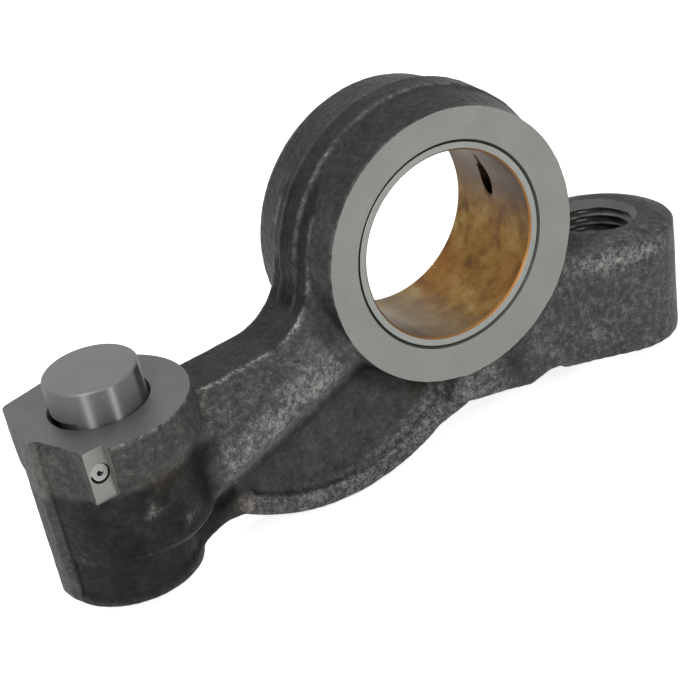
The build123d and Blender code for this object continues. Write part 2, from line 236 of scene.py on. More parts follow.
def basis(axis):
    """Two unit vectors square to axis and to each other."""
    axis = Vector(axis).normalized()
    side = Vector((0, 1, 0)) if abs(axis.y) < 0.9 else Vector((1, 0, 0))
    first = side.cross(axis).normalized()
    return first, axis.cross(first)


def ring_faces(rows, steps, flip=False):
    """Quads between neighbouring rings of corners, and a cap at each end."""
    faces = []
    for row in range(rows - 1):
        for k in range(steps):
            a = row * steps + k
            b = row * steps + (k + 1) % steps
            quad = (a, b, b + steps, a + steps)
            faces.append((b, a, a + steps, b + steps) if flip else quad)
    last = (rows - 1) * steps
    start, end = tuple(range(steps)), tuple(range(last, last + steps))
    if flip:
        return faces + [start, tuple(reversed(end))]
    return faces + [tuple(reversed(start)), end]


def lathe(name, profile, origin, axis, steps=128):
    """Closed solid of revolution: profile is (radius, height) from end to end."""
    axis = Vector(axis).normalized()
    first, second = basis(axis)
    verts = []
    for radius, height in profile:
        for k in range(steps):
            turn = 2 * pi * k / steps
            out = first * cos(turn) + second * sin(turn)
            verts.append(Vector(origin) + axis * height + out * radius)
    return new_object(name, verts, ring_faces(len(profile), steps))


def cylinder(name, start, end, radius, steps=64):
    """Plain cylinder between two points."""
    start, end = Vector(start), Vector(end)
    length = (end - start).length
    return lathe(name, [(radius, 0), (radius, length)], start, end - start, steps)


def block(name, low, high):
    """Box between two corners."""
    (a, b, c), (d, e, f) = low, high
    verts = [(a, b, c), (d, b, c), (d, e, c), (a, e, c)]
    verts += [(a, b, f), (d, b, f), (d, e, f), (a, e, f)]
    faces = [(0, 3, 2, 1), (4, 5, 6, 7), (0, 1, 5, 4)]
    faces += [(1, 2, 6, 5), (2, 3, 7, 6), (3, 0, 4, 7)]
    return new_object(name, verts, faces)


def modified(obj, kind, **settings):
    """Adds a modifier, applies it and leaves only its result."""
    modifier = obj.modifiers.new(kind, kind)
    for key, value in settings.items():
        setattr(modifier, key, value)
    depsgraph = bpy.context.evaluated_depsgraph_get()
    mesh = bpy.data.meshes.new_from_object(obj.evaluated_get(depsgraph))
    obj.modifiers.clear()
    old = obj.data
    obj.data = mesh
    bpy.data.meshes.remove(old)


def cut(obj, tool):
    """Cuts tool out of obj and deletes tool."""
    modified(obj, "BOOLEAN", operation="DIFFERENCE", solver="MANIFOLD", object=tool)
    bpy.data.objects.remove(tool)


def vertex_array(mesh, field):
    """A three-column array of a vertex field."""
    found = np.empty(len(mesh.vertices) * 3, np.float32)
    mesh.vertices.foreach_get(field, found)
    return found.reshape(-1, 3).astype(float)


def polygon_array(mesh, field):
    """A three-column array of a polygon field."""
    found = np.empty(len(mesh.polygons) * 3)
    mesh.polygons.foreach_get(field, found)
    return found.reshape(-1, 3)


def finish_mesh(obj, angle):
    """Smooth shading, with sharp edges where faces meet at more than angle in degrees."""
    mesh = obj.data
    mesh.polygons.foreach_set("use_smooth", [True] * len(mesh.polygons))
    mesh.set_sharp_from_angle(angle=radians(angle))
    mesh.update()


# ---------------------------------------------------------------- the forging's blank
def add_stock(mesh):
    """Moves the faces to be machined outwards by the allowance."""
    work = bmesh.new()
    work.from_mesh(mesh)
    bmesh.ops.remove_doubles(work, verts=work.verts, dist=SAME_PLACE)
    work.normal_update()
    for normal, level in (
        ((0, -1, 0), HALF_HUB),
        ((0, 1, 0), HALF_HUB),
        ((0, 0, 1), BOSS_TOP),
    ):
        out = Vector(normal)
        chosen = [
            face
            for face in work.faces
            if face.normal.dot(out) > FACING
            and abs(face.calc_center_median().dot(out) - level) < ON_PLANE
        ]
        grown = bmesh.ops.extrude_face_region(work, geom=chosen)["geom"]
        bmesh.ops.delete(work, geom=chosen, context="FACES")
        moved = [item for item in grown if isinstance(item, bmesh.types.BMVert)]
        bmesh.ops.translate(work, verts=moved, vec=out * ALLOWANCE)
    work.to_mesh(mesh)
    work.free()


def forged_blank():
    """The CAD body with its bores filled and stock left on the faces to be machined."""
    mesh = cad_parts["rocker_body"].data.copy()
    add_stock(mesh)
    mesh.materials.clear()
    blank = bpy.data.objects.new("forging", mesh)
    bpy.context.scene.collection.objects.link(blank)

    # Each plug is a little larger than its hole, and none stands proud of the blank
    out = HALF_HUB + ALLOWANCE
    bore_floor = (PLUNGER_X, 0, PLUNGER_BOTTOM - CHAMBER_DEPTH - FLOOR_FILL)
    bore_top = (PLUNGER_X, 0, BOSS_TOP + ALLOWANCE)
    pin_front = (PIN_X, PIN_PLUG_FRONT, PIN_Z)
    pin_back = (PIN_X, PIN_PLUG_BACK, PIN_Z)
    thread_end = THREAD_TOP - THREAD_AXIS * THREAD_LENGTH
    plugs = [
        cylinder("plug", (0, -out, 0), (0, out, 0), BUSH_SEAT_RADIUS + SEAT_FILL),
        cylinder("plug", bore_floor, bore_top, PLUNGER_BORE_RADIUS + BORE_FILL),
        cylinder("plug", pin_front, pin_back, PIN_RADIUS + PIN_FILL),
        cylinder("plug", THREAD_TOP, thread_end, THREAD_MOUTH + THREAD_FILL),
        cylinder("plug", PORT_START, PORT_END, DRILL_RADIUS + DRILL_FILL),
        cylinder("plug", FEED_START, FEED_END, DRILL_RADIUS + DRILL_FILL),
        block("plug", SLOT_PLUG_LOW, SLOT_PLUG_HIGH),
    ]
    joined = bmesh.new()
    joined.from_mesh(blank.data)
    for plug in plugs:
        joined.from_mesh(plug.data)
        bpy.data.objects.remove(plug)
    joined.to_mesh(blank.data)
    joined.free()
    return blank


# ---------------------------------------------------------------- fields over the forging
def step_between(low, high, values):
    """Smooth rise from 0 at low to 1 at high."""
    share = np.clip((values - low) / (high - low), 0.0, 1.0)
    return share * share * (3.0 - 2.0 * share)


def noise_at(places, name):
    """One of the NOISES at each place: smooth, from -1 to 1."""
    cell, offset, z_scale = NOISES[name]
    shift = Vector((offset, offset, offset))
    places = places * np.array((1.0, 1.0, z_scale))
    return np.array([noise.noise(Vector(p) / cell + shift) for p in places])


def landmarks(places):
    """Where each point lies against the forging's main lines, in millimetres."""
    x, y, z = places.T / MM
    down = (np.array(THREAD_TOP) - places) / MM
    above_crease = z - (CREASE_HUB_Z + CREASE_SLOPE * x)
    in_belly = BELLY_RADIUS - np.hypot(x - BELLY_X, z - BELLY_Z)
    boss = np.hypot(x - PLUNGER_X / MM, y)
    return {
        "x": x,
        "y": y,
        "z": z,
        "side": np.abs(y),
        "above_crease": above_crease,
        "off_crease": np.abs(above_crease),
        "in_belly": in_belly,
        "off_rim": np.abs(in_belly - RIM_BAND),
        # The rim widens towards the hub
        "in_rim": in_belly - RIM_WIDENING * step_between(*RIM_WIDENS, x),
        "from_hub": np.hypot(x - HUB_X, z - HUB_Z),
        "over_shoulder": z - SHOULDER_SLOPE * x,
        "from_boss": boss,
        "off_root": np.abs(boss - BOSS_ROOT_RADIUS),
        "below_thread_top": down @ np.array(THREAD_AXIS),
    }


def rise(field, low, high):
    """Term that goes from 0 at low to 1 at high over a field."""
    return lambda at: step_between(low, high, at[field])


def bell(field, place, spread):
    """Term that is 1 at a place of a field and fades over the spread."""
    return lambda at: np.exp(-(((at[field] - place) / spread) ** 2))


def spots(*rounds):
    """Term with round spots over the side view, each (x, z, radius)."""
    return lambda at: sum(
        bell("x", x, radius)(at) * bell("z", z, radius)(at) for x, z, radius in rounds
    )


def zone(field):
    """Term that is a field, or a zone that stands earlier in the table."""
    return lambda at: at[field]


def rest(field):
    """Term for what a field or an earlier zone leaves."""
    return lambda at: 1.0 - at[field]


def product(at, terms):
    """The terms' product at each point."""
    found = 1.0
    for term in terms:
        found = found * term(at)
    return found


# Where the blank is smoothed most: weight and terms, in millimetres
SOFT_ZONES = (
    # Crease of the rib, edge of the pocket, adjuster boss, root of the boss and of the hub
    (0.8, (rise("off_crease", 2.2, 0.6), rise("x", -56, -50), rise("x", 0, -6))),
    (0.6, (rise("off_rim", 2.2, 0.8), rise("x", 6, 2))),
    (0.7, (rise("x", 14, 20),)),
    (1.0, (rise("off_root", 1.5, 0.4), rise("x", -56, -52))),
    (1.0, (rise("from_hub", 27, 25.5), rise("z", -2, -8))),
)

# The hub drum above the arm, where the flash lines stand out
DRUM_RELIEF = (
    rise("from_hub", 23, 24),
    rise("from_hub", 27, 26),
    rise("over_shoulder", -8, -2),
)

# The skin's zones: what each adds to grit, tone and rust, and its terms in millimetres.
# Several zones put painted light and painted shade into the tone
NOTHING = (0.0, 0.0, 0.0)
ZONES = {
    # Valve arm, web and push-rod block
    "arm": (NOTHING, (rise("x", -54, -50), rise("x", -15, -19))),
    "over_rib": (NOTHING, (zone("arm"), rise("above_crease", 1.5, 3))),
    # Rib's lower bevel: more grit, and a painted highlight in its tone
    "rib": (
        (0.42, 1.35, 0.0),
        (
            zone("arm"),
            rise("above_crease", 0.8, 3),
            rise("side", 4.9, 6.4),
            zone("rib_fade"),
        ),
    ),
    # Painted highlight along the ridge between the top strip and the rib, with grit
    "ridge": (
        (0.7, 1.3, 0.0),
        (zone("over_rib"), bell("side", 5.1, 0.42), rise("small", -0.7, 0.1)),
    ),
    # Top strip: less grit, and darker with painted shade
    "strip": ((-0.30, -0.32, 0.0), (zone("over_rib"), rise("side", 5.2, 4.6))),
    # Painted shade along the crease between the rib and the web
    "crease": (
        (-0.25, -0.35, 0.0),
        (zone("arm"), bell("above_crease", 0, 1.3), rise("side", 4.3, 4.7)),
    ),
    # Rim along the web's lower edge: more grit, and painted light in its tone
    "rim": (
        (0.42, 0.62, 0.0),
        (
            rise("in_rim", RIM_BAND + 0.6, RIM_BAND - 0.8),
            rise("side", 4.5, 4.7),
            rise("x", -54, -46),
            rise("x", 8, 2),
            rise("above_crease", 0, -3),
        ),
    ),
    "pocket": (
        (-0.22, 0.10, 0.0),
        (
            rise("in_belly", RIM_BAND, RIM_BAND + 1.5),
            rise("above_crease", 0, -1.5),
            rise("x", -52, -44),
            rise("x", 6, 0),
        ),
    ),
    "block_side": ((0.20, 0.50, 0.0), (rise("x", 6, 12), rise("side", 8.0, 9.6))),
    # Painted highlight on the rounded top edge of the block, with grit
    "block_top_edge": (
        (0.45, 0.45, 0.0),
        (
            rise("x", 20, 24),
            rise("x", 42, 35),
            bell("below_thread_top", 3.3, 1.5),
            rise("side", 8.5, 9.8),
        ),
    ),
    # Plunger boss: brown-grey collar, darker body, neck, lip and trimmed flash
    "boss": (NOTHING, (rise("from_boss", 17.6, 16.6),)),
    "collar": ((0.02, 0.35, 0.12), (zone("boss"), rise("collar_height", -12.2, -10.2))),
    "collar_streaks": (
        (0.30, 0.0, 0.0),
        (zone("collar"), rise("streaks", 0.1, 0.7), rise("x", -66, -60)),
    ),
    "collar_stain": (
        (0.0, 0.0, 0.75),
        (zone("boss"), bell("x", -61.0, 3.2), bell("z", -12.2, 2.0)),
    ),
    "lower": ((-0.12, -0.62, 0.0), (zone("boss"), rest("collar"))),
    "lower_stains": ((0.0, 0.0, 0.15), (zone("lower"), rise("small", 0.1, 0.6))),
    "lower_edge": (
        (0.75, 0.0, 0.0),
        (zone("lower"), bell("z", -23.4, 1.6), rise("small", 0.0, 0.5)),
    ),
    "specks": (
        (0.8, 0.6, 0.0),
        (
            zone("boss"),
            spots((-62.0, -14.0, 2.6), (-59.0, -20.5, 2.0), (-66.0, -16.0, 2.2)),
            rise("small", -0.3, 0.5),
        ),
    ),
    "neck": ((-0.25, 0.0, 0.0), (zone("boss"), rise("z", NECK_TOP + 0.5, NECK_TOP - 0.5))),
    "lip": ((0.42, 0.22, 0.0), (zone("boss"), rise("z", LIP_TOP - 0.5, LIP_TOP - 1.2))),
    "lip_stains": ((0.0, 0.0, 0.35), (zone("lip"), rise("small", -0.2, 0.6))),
    "trim": (
        (-0.5, 1.1, 0.0),
        (zone("boss"), rise("x", -76.0, -76.8), rise("side", 3.2, 2.6)),
    ),
    "trim_line": (
        (0.0, -0.6, 0.6),
        (zone("boss"), bell("y", -2.9, 0.35), rise("x", -75, -76)),
    ),
    # Painted shade in the hollow where the boss meets the rib
    "root": (
        (-0.20, -0.35, 0.0),
        (rise("from_boss", 16.8, 14.8), rise("x", -58, -54), rise("z", -24, -20)),
    ),
    # Hub drum, the lines where its flash was ground, and painted shade on the arm under it
    "drum": (
        (-0.18, -0.22, 0.0),
        (
            rise("from_hub", 22.5, 23.3),
            rise("from_hub", 28, 26.5),
            rise("over_shoulder", -9, -4),
        ),
    ),
    "flash_band": ((0.0, -0.12, 0.0), (zone("drum"), rise("side", 2.3, 1.7))),
    "front_line": (
        (0.55, 1.5, 0.0),
        (zone("drum"), bell("y", -FLASH_HALF, 0.35), rise("small", -0.8, 0.0)),
    ),
    "back_line": (
        (0.2475, 0.675, 0.0),
        (zone("drum"), bell("y", FLASH_HALF, 0.35), rise("small", -0.8, 0.0)),
    ),
    # Painted shade on the arm under the hub, with less grit
    "under_hub": (
        (-0.20, -0.55, 0.0),
        (rise("from_hub", 29, 25), rise("z", 2, -5), rise("x", 12, 4), rest("rim")),
    ),
    "chatter": (
        NOTHING,
        (zone("flash_band"), rise("cloud", -0.2, 0.5), rise("x", -14, -19)),
    ),
    # Brown spots where the rim meets the boss and the block
    "rust_spots": ((0.0, 0.0, 0.6), (spots((-46.4, -27.4, 1.6), (-9.8, -24.6, 1.5)),)),
    # Bright edges: every proud one, bright from wear, and the rims of the boss and the hub,
    # with a painted highlight
    "proud_edges": (NOTHING, (rise("proud", 0.13, 0.36),)),
    "broken_glint": (NOTHING, (rise("flecks", -0.4, 0.2),)),
    "boss_rim": (
        NOTHING,
        (
            zone("boss"),
            bell("z", BOSS_TOP / MM, 0.45),
            rise("x", -75, -70),
            zone("broken_glint"),
        ),
    ),
    "hub_rim": (
        NOTHING,
        (
            bell("side", HALF_HUB / MM, 0.4),
            rise("x", 2, -8),
            rise("from_hub", 27, 25),
            zone("broken_glint"),
        ),
    ),
}


# ---------------------------------------------------------------- the forging's skin
def convexity(mesh):
    """How much each vertex stands proud of its neighbours, as a share of their distance."""
    places = vertex_array(mesh, "co")
    normals = vertex_array(mesh, "normal")
    count = len(places)
    ends = np.empty(len(mesh.edges) * 2, np.int64)
    mesh.edges.foreach_get("vertices", ends)
    first, second = ends.reshape(-1, 2).T
    span = np.linalg.norm(places[second] - places[first], axis=1)
    total = np.zeros_like(places)
    reach = np.zeros(count)
    for here, there in ((first, second), (second, first)):
        away = places[there] - places[here]
        for axis in range(3):
            total[:, axis] += np.bincount(here, away[:, axis], count)
        reach += np.bincount(here, span, count)
    return -(total * normals).sum(1) / np.maximum(reach, 1e-9)


def soften(obj):
    """Rounds the forging a little, and more where its regions blend."""
    modified(obj, "SMOOTH", factor=0.5, iterations=CRISP_STEPS)
    at = landmarks(vertex_array(obj.data, "co"))
    weights = sum(weight * product(at, terms) for weight, terms in SOFT_ZONES)
    weights = np.clip(weights, 0.0, 1.0)
    group = obj.vertex_groups.new(name="soft")
    for level in range(1, SOFT_LEVELS + 1):
        low, high = (level - 0.5) / SOFT_LEVELS, (level + 0.5) / SOFT_LEVELS
        chosen = np.nonzero((weights > low) & (weights <= high))[0]
        group.add(chosen.tolist(), level / SOFT_LEVELS, "REPLACE")
    modified(obj, "SMOOTH", factor=0.5, iterations=SOFT_STEPS, vertex_group="soft")
    obj.vertex_groups.clear()


def roughen(obj):
    """Adds the fine unevenness of a shot-blasted forging and its trimmed flash lines."""
    mesh = obj.data
    places = vertex_array(mesh, "co")
    normals = vertex_array(mesh, "normal")
    at = landmarks(places)
    skin = COARSE_SHARE * noise_at(places, "coarse") + FINE_SHARE * noise_at(places, "fine")
    shift = SKIN_AMPLITUDE * (skin - SKIN_SINK)
    at["wavy_y"] = at["y"] + FLASH_WANDER * noise_at(places, "flash_wander")
    height = FLASH_HEIGHT + FLASH_RAGGED * noise_at(places, "flash_ragged")
    for line in (-FLASH_HALF, FLASH_HALF):
        terms = (*DRUM_RELIEF, bell("wavy_y", line, FLASH_WIDTH))
        shift += product(at, terms) * height
    places = places + normals * shift[:, None]
    mesh.vertices.foreach_set("co", places.astype(np.float32).ravel())
    mesh.update()


def paint_zones(obj):
    """Point attributes that the skin reads: grit, tone with painted light and shade, rust,
    edge wear with painted highlights on the rims, and chatter.
    """
    mesh = obj.data
    places = vertex_array(mesh, "co")
    at = landmarks(places)
    for name in ("cloud", "small", "streaks", "flecks"):
        at[name] = noise_at(places, name)
    cloud, small = at["cloud"], at["small"]
    at["proud"] = convexity(mesh) + PROUD_WAVE * small
    at["collar_height"] = at["z"] + COLLAR_WAVE * cloud
    fade = step_between(RIB_FADE_FROM, RIB_FADE_TO, at["above_crease"] + RIB_WAVE * cloud)
    at["rib_fade"] = RIB_LEAST + (1.0 - RIB_LEAST) * fade

    grit = PLAIN_GRIT + GRIT_CLOUD * cloud
    tone = PLAIN_TONE + TONE_CLOUD * cloud + TONE_SMALL * small
    rust = np.zeros(len(places))
    for name, (weights, terms) in ZONES.items():
        at[name] = product(at, terms)
        for paint, weight in zip((grit, tone, rust), weights):
            paint += weight * at[name]
    # Proud edges are bright from wear; the rims of the boss and the hub carry a painted
    # highlight
    rims = at["boss_rim"] + at["hub_rim"]
    paints = {
        "grit": grit,
        "tone": tone,
        "rust": rust,
        "wear_and_glint": np.maximum(EDGE_WEAR * at["proud_edges"], RIM_GLINT * rims),
        "chatter": at["chatter"],
    }
    for name, values in paints.items():
        values = np.clip(values, 0.0, MOST_PAINT).astype(np.float32)
        mesh.attributes.new(name, "FLOAT", "POINT").data.foreach_set("value", values)


# ---------------------------------------------------------------- machining the forging
def thread_cutter(name):
    """Solid that leaves an M14 x 1.5 thread and both countersinks when it is cut out."""
    whole = THREAD_LENGTH + 2 * OVERCUT
    rows = int(whole / THREAD_PITCH * THREAD_ROWS_A_TURN)
    first, second = basis(THREAD_AXIS)
    verts = []
    for row in range(rows + 1):
        depth = -OVERCUT + whole * row / rows
        flare_top = THREAD_MOUTH - depth
        flare_end = THREAD_MOUTH - (THREAD_LENGTH - depth)
        flare = min(max(flare_top, flare_end), THREAD_MOUTH + OVERCUT)
        for k in range(THREAD_STEPS):
            share = (depth / THREAD_PITCH - k / THREAD_STEPS) % 1.0
            ridge = (abs(share - 0.5) * 2 - THREAD_FLAT) / THREAD_FLANK
            ridge = min(1.0, max(0.0, ridge))
            radius = THREAD_CORE + (THREAD_RADIUS - THREAD_CORE) * ridge
            turn = 2 * pi * k / THREAD_STEPS
            out = first * cos(turn) + second * sin(turn)
            verts.append(THREAD_TOP - THREAD_AXIS * depth + out * max(radius, flare))
    return new_object(name, verts, ring_faces(rows + 1, THREAD_STEPS, flip=True))


def machine(obj):
    """Cuts every machined surface into the forging."""
    for side in (-1, 1):
        start, end = (0, side * HALF_HUB, 0), (0, side * FAR, 0)
        cut(obj, cylinder("tool", start, end, HUB_CUT_RADIUS, 160))
    wide = BUSH_SEAT_RADIUS + BUSH_SEAT_CHAMFER + OVERCUT
    profile = [
        (wide, -HALF_HUB - OVERCUT),
        (BUSH_SEAT_RADIUS, -HALF_HUB + BUSH_SEAT_CHAMFER),
        (BUSH_SEAT_RADIUS, HALF_HUB - BUSH_SEAT_CHAMFER),
        (wide, HALF_HUB + OVERCUT),
    ]
    cut(obj, lathe("tool", profile, (0, 0, 0), (0, 1, 0), 192))
    cut(obj, block("tool", (BOSS_CUT_LEFT, -FAR, BOSS_TOP), (BOSS_CUT_RIGHT, FAR, FAR)))
    mouth = PLUNGER_BORE_RADIUS + PLUNGER_BORE_CHAMFER
    profile = [
        (CHAMBER_RADIUS, PLUNGER_BOTTOM - CHAMBER_DEPTH),
        (CHAMBER_RADIUS, PLUNGER_BOTTOM),
        (PLUNGER_BORE_RADIUS, PLUNGER_BOTTOM),
        (PLUNGER_BORE_RADIUS, BOSS_TOP - PLUNGER_BORE_CHAMFER),
        (mouth + OVERCUT, BOSS_TOP + OVERCUT),
    ]
    cut(obj, lathe("tool", profile, (PLUNGER_X, 0, 0), (0, 0, 1)))
    low = (SPOT_FACE_LEFT, -FAR, SPOT_FACE_BOTTOM)
    high = (SPOT_FACE_RIGHT, SPOT_FACE_Y, FAR)
    cut(obj, block("tool", low, high))
    cut(obj, cylinder("tool", (PIN_X, -FAR, PIN_Z), (PIN_X, FAR, PIN_Z), PIN_RADIUS))
    cut(obj, cylinder("tool", PORT_START, PORT_END, DRILL_RADIUS))
    cut(obj, cylinder("tool", FEED_START, FEED_END, DRILL_RADIUS))
    cut(obj, thread_cutter("tool"))


def sort_surfaces(obj):
    """Gives each machined face its own finish, by the surface that it lies on."""
    mesh = obj.data
    centres = polygon_array(mesh, "center")
    x, y, z = centres.T
    across = np.abs(polygon_array(mesh, "normal")[:, 1]) < ACROSS
    hub = np.hypot(x, z)
    boss = np.hypot(x - PLUNGER_X, y)
    kind = np.full(len(centres), FORGED, np.int32)
    kind[(np.abs(np.abs(y) - HALF_HUB) < ON_SURFACE) & (hub < HUB_FACE_RADIUS)] = GROUND
    seat = hub < BUSH_SEAT_RADIUS + BUSH_SEAT_CHAMFER + ON_SURFACE
    kind[seat & (np.abs(y) < HALF_HUB + PAST_EDGE) & across] = BORED
    inside = boss < PLUNGER_BORE_RADIUS + PLUNGER_BORE_CHAMFER
    kind[inside & (z > PLUNGER_BOTTOM - CHAMBER_DEPTH - PAST_EDGE)] = BORED
    kind[(np.abs(z - BOSS_TOP) < ON_SURFACE) & (x < BOSS_CUT_RIGHT)] = BOSS_FACE
    slot = (x > SPOT_FACE_LEFT) & (x < SPOT_FACE_RIGHT + ON_SURFACE)
    slot &= (y < SPOT_FACE_Y + ON_SURFACE) & (z > SPOT_FACE_BOTTOM - ON_SURFACE)
    kind[slot] = SPOT_FACED
    # The spot face is one many-sided face whose centre lies in the pin hole
    kind[(np.hypot(x - PIN_X, z - PIN_Z) < PIN_RADIUS + ON_SURFACE) & across] = BORED
    down = centres - np.array(THREAD_TOP)
    along = down @ np.array(THREAD_AXIS)
    away = np.linalg.norm(down - along[:, None] * np.array(THREAD_AXIS), axis=1)
    kind[(away < THREAD_MOUTH + ON_SURFACE) & (x > ADJUSTER_FROM)] = THREADED
    mesh.polygons.foreach_set("material_index", kind)
    mesh.update()


# ---------------------------------------------------------------- bush
def groove_depth(angle, y):
    """Depth of the oil groove or of the seam below the bore, at an angle and y."""
    turn = (angle + pi) % (2 * pi) - pi
    share = (turn - GROOVE_FROM) / (GROOVE_TO - GROOVE_FROM)
    depth = 0.0
    if 0.0 < share < 1.0:
        half_width = GROOVE_HALF_WIDTH - GROOVE_NARROWING * share
        middle = GROOVE_MIDDLE - GROOVE_DRIFT * share
        side = (y - middle) / half_width
        middle_depth = GROOVE_DEPTH * min(1.0, GROOVE_RUN_IN * share)
        middle_depth *= 1.0 - GROOVE_FADE * share
        depth = middle_depth * max(0.0, 1.0 - side * side)
    if abs(turn - SEAM_ANGLE) < SEAM_HALF:
        depth = max(depth, SEAM_DEPTH)
    return depth


def bush_mesh():
    """Steel-backed bush with the oil port's tapering groove and the strip's seam."""
    land = BUSH_END - BORE_CHAMFER
    section = [(BORE_RADIUS + BORE_CHAMFER, -BUSH_END)]
    for row in range(BUSH_ROWS + 1):
        section.append((BORE_RADIUS, -land + 2 * land * row / BUSH_ROWS))
    section += [
        (BORE_RADIUS + BORE_CHAMFER, BUSH_END),
        (BUSH_SEAT_RADIUS - BUSH_EDGE, BUSH_END),
        (BUSH_SEAT_RADIUS, BUSH_END - BUSH_EDGE),
        (BUSH_SEAT_RADIUS, -BUSH_END + BUSH_EDGE),
        (BUSH_SEAT_RADIUS - BUSH_EDGE, -BUSH_END),
    ]
    verts = []
    for radius, y in section:
        for k in range(BUSH_TURNS):
            angle = 2 * pi * k / BUSH_TURNS
            reach = radius + (groove_depth(angle, y) if radius == BORE_RADIUS else 0.0)
            verts.append((reach * cos(angle), y, reach * sin(angle)))
    faces = []
    for row in range(len(section)):
        here = row * BUSH_TURNS
        there = (row + 1) % len(section) * BUSH_TURNS
        for k in range(BUSH_TURNS):
            turned = (k + 1) % BUSH_TURNS
            faces.append((here + k, here + turned, there + turned, there + k))
    return new_object("bush", verts, faces)


# ---------------------------------------------------------------- node helpers
class Nodes:
    """Short calls for the nodes of one material or world."""

    def __init__(self, tree):
        self.nodes = tree.nodes
        self.links = tree.links

    def new(self, kind):
        """A new node."""
        return self.nodes.new(kind)

    def feed(self, socket, value):
        """Links a socket to another one, or sets it to a number or a colour."""
        if isinstance(value, bpy.types.NodeSocket):
            self.links.new(value, socket)
        else:
            socket.default_value = (*value, 1.0) if isinstance(value, tuple) else value

    def noise(self, scale, detail, roughness=0.5):
        """Noise over the object's own coordinates, in metres."""
        node = self.new("ShaderNodeTexNoise")
        node.inputs["Scale"].default_value = scale
        node.inputs["Detail"].default_value = detail
        node.inputs["Roughness"].default_value = roughness
        self.feed(node.inputs["Vector"], self.place())
        return node.outputs["Fac"]

    def place(self):
        """The object's own coordinates."""
        return self.new("ShaderNodeTexCoord").outputs["Object"]

    def split(self, vector):
        """The three parts of a vector."""
        node = self.new("ShaderNodeSeparateXYZ")
        self.feed(node.inputs[0], vector)
        return tuple(node.outputs)

    def attribute(self, name):
        """A point attribute of the mesh."""
        node = self.new("ShaderNodeAttribute")
        node.attribute_name = name
        return node.outputs["Fac"]

    def ramp(self, source, stops):
        """A colour ramp over source: stops are (position, grey or colour)."""
        node = self.new("ShaderNodeValToRGB")
        elements = node.color_ramp.elements
        elements.remove(elements[1])
        for k, (position, colour) in enumerate(stops):
            element = elements[0] if k == 0 else elements.new(position)
            element.position = position
            colour = colour if isinstance(colour, tuple) else (colour, colour, colour)
            element.color = (*colour, 1.0)
        self.feed(node.inputs["Fac"], source)
        return node.outputs["Color"]

    def mix(self, factor, first, second, mode="MIX"):
        """Mixes two colours by a factor."""
        node = self.new("ShaderNodeMix")
        node.data_type = "RGBA"
        node.blend_type = mode
        for key, value in ((0, factor), (6, first), (7, second)):
            self.feed(node.inputs[key], value)
        return node.outputs[2]

    def math(self, operation, *values):
        """A math node over sockets and numbers."""
        node = self.new("ShaderNodeMath")
        node.operation = operation
        for socket, value in zip(node.inputs, values):
            self.feed(socket, value)
        return node.outputs[0]

    def line(self, value, slope, offset):
        """Value times slope plus offset."""
        return self.math("MULTIPLY_ADD", value, slope, offset)

    def clamp(self, value, low=0.0, high=1.0):
        """Value kept between low and high."""
        return self.math("MINIMUM", self.math("MAXIMUM", value, low), high)

    def bump(self, height, distance, strength, before=None):
        """A bump normal for a height, on top of an earlier one."""
        node = self.new("ShaderNodeBump")
        node.inputs["Strength"].default_value = strength
        node.inputs["Distance"].default_value = distance
        self.feed(node.inputs["Height"], height)
        if before:
            self.feed(node.inputs["Normal"], before)
        return node.outputs["Normal"]


def material(name):
    """A new node material, with its nodes and its shader."""
    made = bpy.data.materials.new(name)
    made.use_nodes = True
    return made, Nodes(made.node_tree), made.node_tree.nodes["Principled BSDF"]


